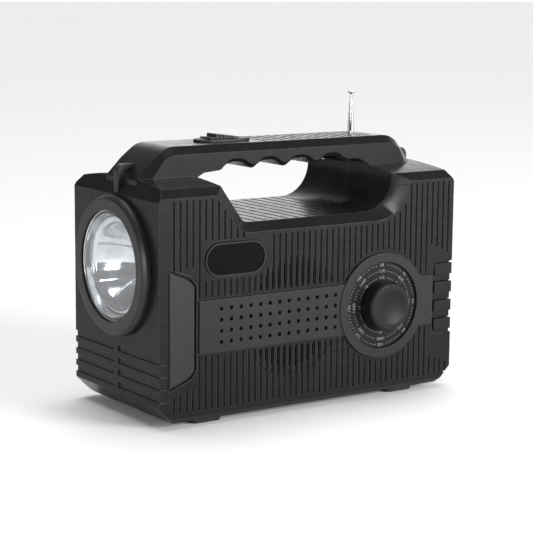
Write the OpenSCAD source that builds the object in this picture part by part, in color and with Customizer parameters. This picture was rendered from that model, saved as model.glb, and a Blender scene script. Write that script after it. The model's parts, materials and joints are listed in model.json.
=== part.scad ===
// Emergency radio: a two-half case with a carrying handle, torch, tuning dial, folding
// antenna, hand crank with gear train, battery bay and solar window.
// Millimetres, +Z up, torch at -X, speaker face towards -Y, origin under the middle of the whole box.

/* [Case] */
// Length of the case, end face to end face
case_l = 201; // [200:0.5:202]
// Depth of the case, speaker face to back
case_d = 93; // [92:0.5:95]
// Underside of the case above the table, which is the height of the feet
foot_h = 3; // [2:0.5:4]
// Thickness of the moulded walls
wall = 2.4; // [2:0.1:2.6]
// Floor of the scoop under the handle
scoop_floor = 108.5; // [107:0.5:110]
// Highest line of the shoulders
shoulder_top = 133; // [132:0.5:134]

/* [Handle] */
// Half the width of the handle
handle_half = 20; // [18:0.5:21]
// Top of the handle
handle_top = 148.8; // [148:0.1:150]
// Distance between two finger grooves
finger_pitch = 21.8; // [21:0.1:22.5]
// Height of a finger groove
finger_rise = 4; // [3:0.25:4.5]

/* [Speaker face] */
// Distance between two ribs
rib_pitch = 4; // [3.9:0.05:4.1]
// Width of the groove between two ribs
groove_w = 1.5; // [1:0.1:1.6]
// Depth of the grooves
groove_deep = 1; // [0.5:0.1:1]
// Width of a sound slot
slot_w = 2.4; // [2:0.1:2.6]
// Radius of the field of sound slots
speaker_r = 34; // [30:0.5:35]
// Middle of the speaker along the case
speaker_x = -14; // [-16:0.5:-13]
// Height of the middle of the speaker, dial and trim band
band_z = 54.3; // [54:0.1:55]

/* [Dial] */
// Middle of the dial along the case
dial_x = 48; // [47:0.5:49]
// Radius of the scale plate
dial_r = 25.1; // [24:0.1:25.2]
// Radius of the tuning knob
knob_r = 14.2; // [12:0.2:15]
// How far the knob stands out from the speaker face
knob_out = 9; // [7:0.5:10]

/* [Torch and crank] */
// Height of the torch's axis
torch_z = 83.7; // [83:0.1:84.5]
// Outer radius of the torch bezel
bezel_r = 39; // [37:0.5:39]
// How far the bezel and the crank's hub stand out from the end faces
end_out = 5; // [4:0.5:6]
// Height of the crank's axis
crank_z = 80; // [79:0.5:81]
// Radius of the well that the crank folds into
well_r = 36; // [35:0.25:36.5]
// Depth of the well
well_deep = 7; // [6.5:0.25:7.5]

/* [Hidden] */
$fn = 64;
near = 0.01;                       // overlap that keeps cuts clean
fit = 0.05;                        // radial clearance of a running fit
half_l = case_l / 2;
half_d = case_d / 2;
front = -half_d;
back = half_d;
wheel_out = 3;                     // volume wheel, proud of the back
mid_y = (knob_out - wheel_out) / 2; // puts the origin under the middle of the whole box
inside = half_d - wall;            // half the depth of the hollow
end_corner = 9.5;                  // chamfer at the bottom ends
body_top = 140;                    // above every shoulder, cut back by the crown
hollow_top = 126;
crown = 3.7;                       // rise of the shoulders from the front edge to the middle
chamfer = 4.4;                     // top edges of the case
crown_r = (pow(half_d - chamfer, 2) + pow(crown, 2)) / (2 * crown);
left_slope = 54.5;                 // steepness of the scoop's left wall
finger_x = -45.3;                  // start of the first finger groove
finger_count = 4;
grip_low = 134.7;                  // lowest line of the finger grip
grip_bevel_w = 2.2;                // bevel along the finger grip's edge
seam = 0.15;                       // groove along the joint of the two halves, half its width
pad_in = 79;                       // inner edge of the corner pad and of the key panel
pad_low = 23;
pad_high = 85.5;
plate_x = -52.5;                   // name plate
plate_z = 90;
plate_l = 39.3;
plate_h = 18.6;
trim_left = -75.8;                 // trim band
trim_right = 85;
trim_half = 14.4;
ring_r = 30.4;
fillet_r = 4.5;                    // between the dial ring and the band
hole_r = 1.2;
hole_pitch = 6.37;
hole_rise = 6.1;
hole_x = -61.9;
hole_cols = 13;
key_left = 87.4;                   // keys, and the notch they sit in
key_right = half_l - 0.2;
key_h = 6.6;
key_z = 38.4;
key_pitch = 11;
notch_left = 86.2;
notch_low = 33;
notch_high = 76;
notch_deep = 1.8;
notch_y = front + 2.9;             // floor of a key's pocket
pad_gap = 1.4;                     // shadow gap round the corner pad
slot_deep = 1.5;                   // sound slots, above their slits
screw_places = [[-88, 16, 43], [12, 16, 43], [88, 16, 43], [-68, 118, 43], [72, 119, 37]];
recess_y = 40.5;                   // floor of the antenna recess in the back
recess_low = 73;
mast_x = 92.2;
mast_y = 43.5;
mast_z = 78;                       // antenna fold axis
tube_r = [2.1, 1.75, 1.4, 1.05];   // outer radii of the antenna sections
tube_top = [152, 157.2, 163.6, 168.5];
tube_l = 62;
socket_up = 4.3;                   // antenna socket, above the fold axis
mast_head_y = back - 0.3;          // inner face of the fold pin's head
arm_reach = 29.8;                  // crank axis to the grip's hinge pin
arm_x = half_l - well_deep + 0.8;  // inner face of the crank arm
arm_t = 4;
pin_x = 99.5;
grip_r = 5;
cell_r = 7.25;
cell_l = 50.5;
bay_x = -30;                       // battery bay
bay_z = 37.3;
bay_l = 60;
bay_h = 48.5;
bay_deep = 17.3;
cover_l = 64;
cover_h = 52.4;
solar_x = -52;
solar_z = 83.5;
solar_l = 84;
solar_h = 31;
wheel_x = 80;
wheel_z = 56;
wheel_r = 11;
flap_x = 36.5;
flap_z = 25;
flap_l = 27;
flap_h = 17;
usb_x = 33;
jack_x = 60;
jack_r = 1.8;
crank_teeth = 40;
pinion_teeth = 12;
wheel_teeth = 36;
rotor_teeth = 10;
module_1 = 1;                      // gear module of the crank stage
module_2 = 0.8;                    // gear module of the generator stage
slack = 0.15;                      // added to each gear centre distance
idler_z = crank_z - (crank_teeth + pinion_teeth) * module_1 / 2 - slack;
rotor_gap = (wheel_teeth + rotor_teeth) * module_2 / 2 + slack;
rotor_turn = -40;                  // direction from the idler to the generator
rotor_y = rotor_gap * cos(rotor_turn);
rotor_z = idler_z + rotor_gap * sin(rotor_turn);

// ---- helpers ----

// Puts a piece, drawn about the case's middle plane, in the part's frame
module placed() {
    translate([0, mid_y, 0]) children();
}

// An X-Z outline, extruded from y0 to y1
module along_y(y0, y1) {
    translate([0, y1, 0]) rotate([90, 0, 0]) linear_extrude(y1 - y0) children();
}

// A Y-Z outline, extruded from x0 to x1
module along_x(x0, x1) {
    translate([x0, 0, 0]) rotate([90, 0, 90]) linear_extrude(x1 - x0) children();
}

// A round bar or bore along Y, through (x, z)
module rod_y(x, z, r, y0, y1) {
    translate([x, y1, z]) rotate([90, 0, 0]) cylinder(h = y1 - y0, r = r);
}

// A round bar or bore along X, through (y, z)
module rod_x(y, z, r, x0, x1) {
    translate([x0, y, z]) rotate([0, 90, 0]) cylinder(h = x1 - x0, r = r);
}

// A box from one corner to the opposite one
module block(low, high) {
    translate(low) cube(high - low);
}

// A round-ended slot outline, upright, from z0 to z1
module slot_2d(x, z0, z1, w) {
    translate([x - w / 2, z0 + w / 2]) square([w, z1 - z0 - w]);
    for (z = [z0 + w / 2, z1 - w / 2]) translate([x, z]) circle(r = w / 2, $fn = 24);
}

// A pill outline, lying
module pill_2d(x, z, l, h) {
    translate([x - l / 2 + h / 2, z - h / 2]) square([l - h, h]);
    for (s = [-1, 1]) translate([x + s * (l - h) / 2, z]) circle(r = h / 2);
}

// A rectangle outline with round corners, about (x, z)
module round_rect_2d(x, z, l, h, r) {
    translate([x - l / 2 + r, z - h / 2]) square([l - 2 * r, h]);
    translate([x - l / 2, z - h / 2 + r]) square([l, h - 2 * r]);
    for (i = [-1, 1], j = [-1, 1])
        translate([x + i * (l / 2 - r), z + j * (h / 2 - r)]) circle(r = r, $fn = 32);
}

// Points of an arc about (cx, cz)
function arc(cx, cz, r, from, to, steps) =
    [for (i = [0:steps]) let (a = from + (to - from) * i / steps) [cx + r * cos(a), cz + r * sin(a)]];

// Outline of the scoop: a sloping left wall and a quarter-round right wall
function scoop_points(floor_z, left_x, right_x, r_left, r_right) =
    let (foot_x = left_x + r_left * tan(left_slope / 2))
    concat(
        [[left_x - (body_top - floor_z) / tan(left_slope), body_top]],
        arc(foot_x, floor_z + r_left, r_left, 270 - left_slope, 270, 4),
        arc(right_x - r_right, floor_z + r_right, r_right, 270, 360, 10),
        [[right_x, body_top]]
    );

scoop = scoop_points(scoop_floor, -44.7, 57.5, 5, 20);
scoop_front = scoop_points(scoop_floor - 5.2, -48.9, 68.8, 12, 25.3);
scoop_inside = scoop_points(scoop_floor - wall, -46.5, 57.5 + wall, 5 + wall, 20 + wall);
scoop_front_inside = scoop_points(scoop_floor - 5.2 - wall, -50.7, 68.8 + wall, 12 + wall, 25.3 + wall);

// Front outline of the case, less a margin all round
module case_2d(margin = 0) {
    x = half_l - margin;
    low = foot_h + margin;
    polygon([
        [-x + end_corner, low], [x - end_corner, low], [x, low + end_corner], [x, 123 - margin],
        [x - 5, 131.5 - margin], [x - 5, body_top], [-x + 5, body_top], [-x + 5, 131.5 - margin],
        [-x, 123 - margin], [-x, low + end_corner]
    ]);
}

// Side outline of the case, with its chamfered edges
module side_2d() {
    polygon([for (p = [
        [-1, -2.5, foot_h], [-1, 0, foot_h + 2.5], [-1, 0, 124.8], [-1, -chamfer - 10.6, body_top],
        [1, -chamfer - 10.6, body_top], [1, 0, 124.8], [1, 0, foot_h + 2.5], [1, -2.5, foot_h]
    ]) [p[0] * (half_d + p[1]), p[2]]]);
}

// The front half of the case as one block: shoulders, chamfers and scoop
module case_block() {
    difference() {
        intersection() {
            along_y(-half_d, 1) case_2d();
            along_x(-half_l, half_l) side_2d();
            rod_x(0, shoulder_top - crown_r, crown_r, -half_l, half_l);
        }
        along_y(-half_d - 1, 2) polygon(scoop);
        scoop_bevel(scoop_front, scoop, -half_d, -half_d + chamfer);
    }
}

// A bevel between the outline at the speaker face and the one further in
module scoop_bevel(outer, inner, y_outer, y_inner) {
    hull() {
        along_y(y_outer - 1, y_outer) polygon(outer);
        along_y(y_inner - near, y_inner) polygon(inner);
    }
}

// Outline of the handle seen from the front, pulled in by a margin
module handle_2d(margin = 0) {
    top = handle_top - margin;
    polygon(concat(
        [[-97 + margin, 124], [-97 + margin, 131.6 - margin], [-88 + margin, 140.6 - margin]],
        arc(-72.7, top - 14, 14, 128, 90, 6),
        arc(70, top - 16, 16, 90, 50, 7),
        [[91 - margin, 131.6 - margin], [91 - margin, 124]]
    ));
}

// The handle's full bar, with its bevelled top edges
module handle_bar() {
    hull() {
        along_y(4 - handle_half, handle_half - 4) handle_2d();
        along_y(-handle_half, handle_half) handle_2d(4.3);
    }
}

// The finger grooves' edge, from the torch end to the crank end
grip_steps = 12;
grip_edge = concat(
    [[-56, grip_low - 0.8]],
    [for (i = [0:finger_count * grip_steps]) [
        finger_x + i * finger_pitch / grip_steps,
        grip_low + finger_rise * (1 - pow(cos(180 * i / grip_steps), 4))
    ]],
    [[43.5, grip_low + 0.4], [45.5, 136.2], [48, 136.7]]
);

// The gap that the fingers go through, with the grooved grip above it
module finger_gap_2d() {
    intersection() {
        polygon(scoop);
        polygon(concat(
            [[-70, 100], [-70, 126], [-60.5, 131.5]],
            grip_edge,
            [[50.8, 136.2], [54.5, 134.3], [63, 131], [63, 100]]
        ));
    }
}

// What is cut away along the grip's front edge, which fades out at both ends
module grip_bevel() {
    last = len(grip_edge) - 1;
    over = 1;
    points = [for (i = [0:last]) let (
        x = grip_edge[i][0],
        z = grip_edge[i][1],
        bevel = grip_bevel_w * min(1, i / 3, (last - i) / 3)
    ) each [
        [x, -handle_half - over, z - over],
        [x, -handle_half - over, z + bevel + over],
        [x, -handle_half + bevel + over, z - over]
    ]];
    sides = [for (i = [0:last - 1], k = [0:2]) let (next = (k + 1) % 3)
        each [[3 * i + k, 3 * i + next, 3 * i + 3 + k], [3 * i + next, 3 * i + 3 + next, 3 * i + 3 + k]]];
    polyhedron(points, concat([[2, 1, 0], [3 * last, 3 * last + 1, 3 * last + 2]], sides));
}

// Case and handle together, solid
module outer_body() {
    case_block();
    difference() {
        handle_bar();
        along_y(-handle_half - 1, handle_half + 1) finger_gap_2d();
        grip_bevel();
    }
}

// The hollow of the case and the channel in the handle
module hollow() {
    difference() {
        along_y(-inside, inside) intersection() {
            case_2d(wall);
            translate([-half_l, 0]) square([case_l, hollow_top]);
        }
        along_y(-half_d, half_d) polygon(scoop_inside);
        scoop_bevel(scoop_front_inside, scoop_inside, -half_d, -half_d + chamfer + wall);
        along_x(-half_l, half_l) polygon([[-half_d, 121], [-half_d + 8.5, 130], [-half_d, 130]]);
    }
    block([-66, -15, 141], [66, 15, handle_top - wall - groove_deep]);
}

// Dished wall behind the crank's well, and the shaft's bearing
module well_wall() {
    rod_x(0, crank_z, well_r + wall, half_l - well_deep - wall, half_l - 1);
    rod_x(0, crank_z, 5.5, half_l - well_deep - 5.5, half_l - well_deep);
}

// Horizontal grip grooves round a bottom end corner
module end_grooves() {
    for (i = [0:3]) translate([0, 0, 17.5 + 6.83 * i]) {
        block([-half_l - 1, front - 1, -1.7], [-half_l + 0.8, -2, 1.7]);
        block([-half_l - 1, front - 1, -1.7], [-half_l + 4, front + 0.6, 1.7]);
        rod_y(4 - half_l, 0, 1.7, front - 1, front + 0.6);
        // the crank end's grooves stop short of the corner
        block([half_l - 0.8, front + 7, -1.7], [half_l + 1, -2, 1.7]);
    }
}

// Everything that both halves share, for the half at negative y
module half_case() {
    difference() {
        union() {
            difference() {
                outer_body();
                hollow();
            }
            well_wall();
        }
        block([-120, 0, -10], [120, 60, 160]);
        rod_x(0, crank_z, well_r, half_l - well_deep, half_l + 1);
        rod_x(0, crank_z, 2.55, 80, half_l);
        rod_x(0, torch_z, 33.3, -half_l - 1, -half_l + wall + near);
        end_grooves();
        // ribbed grip on the handle and grooves in the scoop's floor
        for (i = [0:12]) block([-12 + 6.1 * i, -14, handle_top - groove_deep],
                               [-9.8 + 6.1 * i, -0.8, handle_top + 1]);
        for (i = [-6:5]) block([7.2 * i - 0.8, -40.6, scoop_floor - groove_deep],
                               [7.2 * i + 0.8, -1, scoop_floor + 1]);
        block([-half_l - 1, -seam, 0], [half_l + 1, 1, 160]);
        // switch slot in the handle
        block([-38.5, -3.4, handle_top - 8], [-25.1, 1, handle_top + 1]);
    }
}

// Top of the ribbed field above a point of the case
function field_top(x) =
    x < -48.9 - 12 ? min(123.4, 101.6 + (-48.9 - x) * tan(left_slope)) :
    x < -38 ? 101.6 + pow(max(0, -38 - x), 2) / 30 :
    x < 43.5 ? 101.6 :
    x < 67 ? 128.6 - sqrt(max(1, pow(27, 2) - pow(x - 43.5, 2))) : 123.4;

// Lowest and highest ends of the free stretches of the groove at x, as [z0, z1] pairs
function groove_runs(x) =
    let (
        top = field_top(x),
        low = 8.4,
        pad_edge = max(0, abs(x) - 83) * 0.45,
        in_pad = x < -pad_in + 2 || x > 82,
        in_ring = abs(x - dial_x) < ring_r + 1,
        ring_half = sqrt(max(0, pow(ring_r + 1.4, 2) - pow(x - dial_x, 2))),
        in_band = x > trim_left - 1.5 && x < trim_right + 1.5,
        half = max(in_ring ? ring_half : 0, in_band ? trim_half + 1.2 : 0),
        in_plate = abs(x - plate_x) < plate_l / 2 + 1.6,
        plate_half = plate_h / 2 + 1.4
    )
    in_pad ? [[low, pad_low - 1.5 - pad_edge], [pad_high + 1.5 - pad_edge, top]] :
    half == 0 ? [[low, top]] :
    in_plate ? [
        [low, band_z - half], [band_z + half, plate_z - plate_half], [plate_z + plate_half, top]
    ] : [[low, band_z - half], [band_z + half, top]];

// The grooves of the ribbed field, cut from the front
module front_grooves() {
    along_y(front - 1, front + groove_deep) for (k = [-1:46]) {
        x = -87.4 + rib_pitch * k;
        for (run = groove_runs(x)) if (run[1] - run[0] > 3) slot_2d(x, run[0], run[1], groove_w);
    }
}

// The sound slots in front of the speaker
module sound_slots(w, y_floor, shift, inset) {
    along_y(front - 1, y_floor) for (k = [11:26]) {
        x = -87.4 + rib_pitch * k;
        reach = sqrt(max(0, pow(speaker_r, 2) - pow(x - speaker_x, 2)));
        if (reach > trim_half + 5) for (s = [-1, 1]) {
            ends = [band_z + s * (trim_half + 1.7 + inset), band_z + s * (reach - inset)];
            slot_2d(x + shift, min(ends), max(ends), w);
        }
    }
}

// The holes in the trim band, from the first column that is wanted
module band_holes(first, y0, y1) {
    for (i = [first:hole_cols - 1], j = [-1.5:1:1.5])
        rod_y(hole_x + hole_pitch * i, band_z + hole_rise * j, hole_r, y0, y1);
}

// Front outline of the trim: band, dial ring and the arm to the keys
module trim_2d(gap = 0) {
    translate([trim_left - gap, band_z - trim_half - gap])
        square([trim_right - trim_left + 2 * gap, 2 * trim_half + 2 * gap]);
    translate([dial_x, band_z]) circle(r = ring_r + gap);
    for (i = [-1, 1], j = [-1, 1]) translate([dial_x, band_z]) scale([i, j]) trim_fillet_2d(gap);
}

// Concave corner where the ring meets the band, in the quarter at +X +Z of the dial.
// Both ends of its curve dip a little below the edges that they run into.
module trim_fillet_2d(gap) {
    rise = trim_half + fillet_r;
    run = sqrt(pow(ring_r + fillet_r, 2) - pow(rise, 2));
    curve = arc(run, rise, fillet_r - gap, 270, 180 + atan(rise / run), 6);
    touch = 0.99 * ring_r / (ring_r + fillet_r);
    polygon(concat(
        [[0, 0], [run + 1, 0], [run + 1, trim_half - 0.1]],
        [for (i = [1:5]) curve[i]],
        [[run * touch, rise * touch]]
    ));
}

// Corner pad outline, on the left of the front
module pad_2d(gap = 0) {
    polygon([
        [-94.4, pad_high + gap], [-82.2 + gap / 2, pad_high - 5 + gap], [-pad_in + gap, pad_high - 8.5],
        [-pad_in + gap, pad_low + 8.7], [-81.5 + gap / 2, pad_low + 5.4 - gap], [-94.4, pad_low - gap]
    ]);
}

// ---- case ----

module front_shell() {
    color([0.13, 0.13, 0.14]) placed() difference() {
        union() {
            half_case();
            for (p = screw_places) rod_y(p[0], p[1], 3.5, -inside - near, -seam);
            block([84, -inside - near, 31], [half_l - wall + near, -41.2, 78]);
            // lip round the corner pad
            along_y(front - 0.4, front + near) difference() {
                pad_2d(pad_gap + 0.8);
                pad_2d(0);
            }
        }
        for (p = screw_places) rod_y(p[0], p[1], 1.45, -14, 1);
        front_grooves();
        sound_slots(slot_w, front + slot_deep, -0.4, 0);
        sound_slots(0.9, front + wall + 1, 0.2, 1);
        along_y(front - 1, front + 0.6) trim_2d(0.1);
        along_y(front - 1, front + 0.6) pill_2d(plate_x, plate_z, plate_l + 0.2, plate_h + 0.2);
        band_holes(3, front - 1, front + wall + 1);
        rod_y(dial_x, band_z, 3 + fit, front - 1, 0);
        // shallow notch at the corner, a pocket for each key and the hole behind it
        along_y(front - 1, front + notch_deep) polygon([
            [notch_left, notch_low], [half_l + 1, notch_low], [half_l + 1, notch_high],
            [notch_left + 2.4, notch_high], [notch_left, notch_high - 6]
        ]);
        for (i = [0:3]) {
            z = key_z + key_pitch * i;
            block([key_left - 0.3, front - 1, z - key_h / 2 - 0.3],
                  [half_l + 1, notch_y, z + key_h / 2 + 0.3]);
            block([87.8, notch_y - 1, z - 2.2], [92.2, -40, z + 2.2]);
        }
        along_y(front - 1, front + 0.1) pad_2d(0);
        along_y(front - 1, front + pad_gap) difference() {
            pad_2d(pad_gap);
            pad_2d(0);
        }
    }
}

module rear_shell() {
    color([0.13, 0.13, 0.14]) placed() difference() {
        union() {
            mirror([0, 1, 0]) half_case();
            for (p = screw_places) rod_y(p[0], p[1], 4, seam, inside + near);
            // walls round the antenna recess
            difference() {
                along_y(recess_y - wall, inside + near) intersection() {
                    case_2d(1);
                    translate([-6.4, recess_low - wall])
                        square([half_l + 6.4, hollow_top + near - recess_low + wall]);
                }
                along_y(0, half_d) polygon(scoop);
            }
        }
        for (p = screw_places) {
            rod_y(p[0], p[1], 1.7, -1, back + 1);
            rod_y(p[0], p[1], 3.1, p[2], back + 1);
        }
        block([-4, recess_y, recess_low], [half_l - 3.5, back + 1, 150]);
        rod_y(mast_x, mast_z, 1.6, 36 - fit, back);
        // battery bay and its cover
        along_y(inside - 1, back + 1) round_rect_2d(bay_x, bay_z, bay_l + 0.4, bay_h + 0.4, 1);
        along_y(back - 1.8, back + 1) round_rect_2d(bay_x, bay_z, cover_l, cover_h, 2);
        // solar window
        along_y(back - 1.6, back + 1) round_rect_2d(solar_x, solar_z, solar_l, solar_h, 2);
        // volume wheel
        block([wheel_x - 10, 40, wheel_z - 2.9], [wheel_x + 10, back + 1, wheel_z + 2.9]);
        // sockets and their flap
        along_y(back - 1.8, back + 1) round_rect_2d(flap_x, flap_z, flap_l + 1.6, flap_h + 0.6, 2);
        along_y(inside - 1, back) round_rect_2d(usb_x, flap_z, 15.2, 7.8, 0.5);
        rod_y(jack_x, flap_z, 4.1, inside - 1, back + 1);
    }
}

module feet() {
    color([0.07, 0.07, 0.07]) placed() for (x = [-67, 67], y = [-37, 37])
        translate([x, y, 0]) linear_extrude(foot_h) round_rect_2d(0, 0, 19, 9, 3);
}

module case_screws() {
    color([0.55, 0.55, 0.57]) placed() for (p = screw_places) difference() {
        union() {
            rod_y(p[0], p[1], 2.8, p[2], p[2] + 2);
            rod_y(p[0], p[1], 1.45, -12, p[2] + near);
        }
        for (turn = [0, 90]) translate([p[0], p[2] + 2, p[1]]) rotate([0, turn, 0])
            cube([3.4, 2.4, 0.7], center = true);
    }
}

module corner_pad() {
    color([0.16, 0.16, 0.17]) placed() along_y(front - 0.8, front + 0.1) pad_2d(0);
}

module name_plate() {
    color([0.05, 0.05, 0.05]) placed() difference() {
        along_y(front - 0.7, front + 0.6) pill_2d(plate_x, plate_z, plate_l, plate_h);
        along_y(front - 1, front - 0.3) pill_2d(plate_x, plate_z, plate_l - 2, plate_h - 2);
    }
}

module front_trim() {
    color([0.15, 0.15, 0.16]) placed() difference() {
        union() {
            along_y(front - 0.9, front + 0.6) trim_2d(0);
            rod_y(dial_x, band_z, ring_r, front - 1.6, front);
        }
        rod_y(dial_x, band_z, dial_r + 0.15, front - 3, front + 1);
        band_holes(0, front - 2, front + 1);
    }
}

// ---- dial and tuning ----

module dial_plate() {
    color([0.02, 0.02, 0.02]) placed() difference() {
        rod_y(dial_x, band_z, dial_r, front - 0.2, front + 0.6);
        rod_y(dial_x, band_z, 3.3, front - 3, front + 3);
    }
}

module tuning_knob() {
    edge = 1.9;
    dish_r = 10.3;
    dish_deep = 1.6;
    dish_ball = (pow(dish_r, 2) + pow(dish_deep, 2)) / (2 * dish_deep);
    color([0.1, 0.1, 0.1]) placed() difference() {
        translate([dial_x, front - 0.6, band_z]) rotate([90, 0, 0]) rotate_extrude() polygon(concat(
            [[0, 0], [knob_r, 0]],
            arc(knob_r - edge, knob_out - 0.6 - edge, edge, 0, 90, 6),
            [[0, knob_out - 0.6]]
        ));
        translate([dial_x + 1.2, front - knob_out - dish_ball + dish_deep, band_z]) sphere(r = dish_ball);
        block([dial_x - 0.4, front - knob_out - 1, band_z + 11],
              [dial_x + 0.4, front - knob_out + 0.5, band_z + knob_r + 1]);
        rod_y(dial_x, band_z, 3, front - 5.6, front);
    }
}

module tuning_spindle() {
    color([0.7, 0.6, 0.35]) placed() rod_y(dial_x, band_z, 3, front - 5.6, -32.5);
}

module tuning_capacitor() {
    color([0.75, 0.75, 0.72]) placed() difference() {
        block([dial_x - 10, -34.5, band_z - 10], [dial_x + 10, -22, band_z + 10]);
        rod_y(dial_x, band_z, 3 + fit, -35, -32);
    }
}

module main_board() {
    color([0.1, 0.35, 0.18]) placed() {
        block([10, -22, 22], [66, -20.4, 97]);
        block([16, -20.4, 60], [34, -16, 78]);
        for (i = [0:3]) translate([20 + 9 * i, -20.4, 36]) rotate([-90, 0, 0])
            cylinder(h = 9, r = 3, $fn = 32);
        block([44, -20.4, 74], [58, -14, 84]);
    }
}

// ---- keys ----

module key_cap(i) {
    z = key_z + key_pitch * i;
    color([0.17, 0.17, 0.18]) placed() {
        block([key_left, front - 0.3, z - key_h / 2], [key_right, front + 1.7, z + key_h / 2]);
        block([88, front + 1.7, z - 2], [92, -39.7, z + 2]);
        block([87, -40.9, z - 2.8], [93, -39.7, z + 2.8]);
    }
}

module key_1() {
    key_cap(3);
}

module key_2() {
    key_cap(2);
}

module key_3() {
    key_cap(1);
}

module key_4() {
    key_cap(0);
}

module key_board() {
    color([0.1, 0.35, 0.18]) placed() {
        block([84, -37.5, 32], [90.8, -35.9, 78]);
        for (i = [0:3]) block([87.6, -38.5, key_z + key_pitch * i - 2],
                              [90.8, -37.5, key_z + key_pitch * i + 2]);
    }
}

// ---- speaker ----

module about_speaker(y) {
    translate([speaker_x, y, band_z]) rotate([-90, 0, 0]) children();
}

module speaker_frame() {
    color([0.35, 0.35, 0.36]) placed() about_speaker(-inside) rotate_extrude() polygon([
        [29, 0], [35.5, 0], [35.5, 1.5], [31, 1.5], [20, 11], [14, 11], [14, 9.5], [19.3, 9.5],
        [29, 1.2]
    ]);
}

module speaker_cone() {
    color([0.06, 0.06, 0.06]) placed() about_speaker(-inside) rotate_extrude() polygon([
        [0, 4.5], [7, 6], [28.5, 0.4], [28.9, 1], [8, 7.4], [0, 6]
    ]);
}

module speaker_magnet() {
    color([0.2, 0.2, 0.2]) placed() about_speaker(-inside) difference() {
        union() {
            translate([0, 0, 11]) cylinder(h = 3, r = 18);
            translate([0, 0, 14]) cylinder(h = 9, r = 16);
        }
        translate([0, 0, 10]) cylinder(h = 4, r = 9);
    }
}

// ---- torch ----

module about_torch() {
    translate([-half_l, 0, torch_z]) rotate([0, 90, 0]) children();
}

module torch_bezel() {
    color([0.1, 0.1, 0.1]) placed() about_torch() rotate_extrude($fn = 96) polygon([
        [30.5, -end_out], [bezel_r - 2, -end_out], [bezel_r, -end_out + 2.2], [bezel_r, 0],
        [33.2, 0], [33.2, 4.5], [32, 4.5], [32, -end_out + 1.1], [30.5, -end_out + 1.1]
    ]);
}

module torch_lens() {
    color([0.85, 0.9, 0.95, 0.35]) placed() about_torch()
        translate([0, 0, -end_out + 1.1]) cylinder(h = 2, r = 32);
}

cup_top = 3.1 - end_out;           // rim of the reflector, from the end face
cup_deep = 27;
cup_r = 30;

function cup(t) = cup_r * sqrt(t / cup_deep);

module torch_reflector() {
    depths = [27, 22, 17.5, 13.5, 10, 7, 4.5, 2.5, 1];
    color([0.85, 0.85, 0.87]) placed() about_torch() translate([0, 0, cup_top])
        rotate_extrude($fn = 96) polygon(concat(
            [[32, 0]], [for (t = depths) [cup(t), cup_deep - t]],
            [for (i = [8:-1:1]) [cup(depths[i]) + 1.2, cup_deep - depths[i] + 0.6]], [[32, 1.4]]
        ));
}

module torch_led() {
    color([0.9, 0.85, 0.5]) placed() about_torch() translate([0, 0, cup_top + cup_deep]) {
        translate([0, 0, -3]) cylinder(h = 3, r = 2.5, $fn = 32);
        translate([0, 0, -3]) sphere(r = 2.5, $fn = 32);
        cylinder(h = 1.6, r = 14, $fn = 48);
    }
}

module switch_plate() {
    color([0.08, 0.08, 0.08]) placed() difference() {
        translate([0, 0, handle_top]) linear_extrude(1.4) pill_2d(-31.8, 0, 35, 14);
        block([-38.4, -3.6, handle_top - 1], [-25.2, 3.6, handle_top + 3]);
    }
}

module torch_switch() {
    step = 2.6;
    color([0.07, 0.07, 0.07]) placed() {
        block([-36, -3.2, handle_top - 4], [-30.6, 3.2, handle_top + 1.7]);
        block([-42.8, -5.5, handle_top + 1.7], [-23.8, 5.5, handle_top + 2.5]);
        for (i = [0:4]) block([-38.6 + step * i, -5, handle_top + 2.5 - near],
                              [-37 + step * i, 5, handle_top + 4.3 - 0.35 * i]);
        block([-38.6, -4.6, handle_top + 2.5 - near], [-26.6, 4.6, handle_top + 2.9]);
    }
}

// ---- strap loops ----

module strap_loop(s) {
    color([0.1, 0.1, 0.1]) placed() mirror([s > 0 ? 1 : 0, 0, 0]) difference() {
        along_y(-2.4, 2.4) difference() {
            round_rect_2d(-91, 129.2, 18, 20, 4.5);
            round_rect_2d(-90.6, 129.8, 12, 13.4, 2.5);
        }
        along_y(-5, 5) union() {
            mirror([s > 0 ? 1 : 0, 0]) handle_2d();
            difference() {
                case_2d();
                translate([-half_l, shoulder_top]) square([case_l, 20]);
            }
        }
    }
}

module strap_loop_left() {
    strap_loop(-1);
}

module strap_loop_right() {
    strap_loop(1);
}

// ---- inside: aerial rod ----

module ferrite_rod() {
    color([0.25, 0.23, 0.22]) placed() rod_x(22, 98, 5, -42, 42);
}

module ferrite_coil() {
    color([0.7, 0.4, 0.2]) placed() difference() {
        union() {
            rod_x(22, 98, 6.4, -10, 10);
            for (x = [-36, 32]) block([x, 14, 91], [x + 4, 30, scoop_floor - wall]);
        }
        rod_x(22, 98, 5, -60, 60);
    }
}

// ---- antenna ----

module antenna_bracket() {
    color([0.6, 0.6, 0.62]) placed() {
        rod_y(mast_x, mast_z, 4, recess_y, recess_y + 0.8);
        rod_y(mast_x, mast_z, 1.5, 36, mast_head_y);
        rod_y(mast_x, mast_z, 2.9, mast_head_y, back + 0.6);
    }
}

module antenna_knuckle() {
    color([0.75, 0.75, 0.77]) placed() difference() {
        union() {
            rod_y(mast_x, mast_z, 3.6, recess_y + 1.1, back - 0.9);
            translate([mast_x, mast_y, mast_z]) {
                cylinder(h = socket_up + 0.5, r = 1.9);
                translate([0, 0, socket_up]) cylinder(h = 3.4, r = 2.55);
            }
        }
        rod_y(mast_x, mast_z, 1.5 + fit, 30, 60);
        translate([mast_x, mast_y, mast_z + socket_up + 1]) cylinder(h = 5, r = tube_r[0]);
    }
}

// One antenna section, a tube open at its top
module antenna_section(i, low) {
    translate([mast_x, mast_y, low]) difference() {
        cylinder(h = tube_top[i] - low, r = tube_r[i]);
        if (i < 3) translate([0, 0, 1]) cylinder(h = 100, r = tube_r[i + 1] + fit);
    }
}

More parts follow.
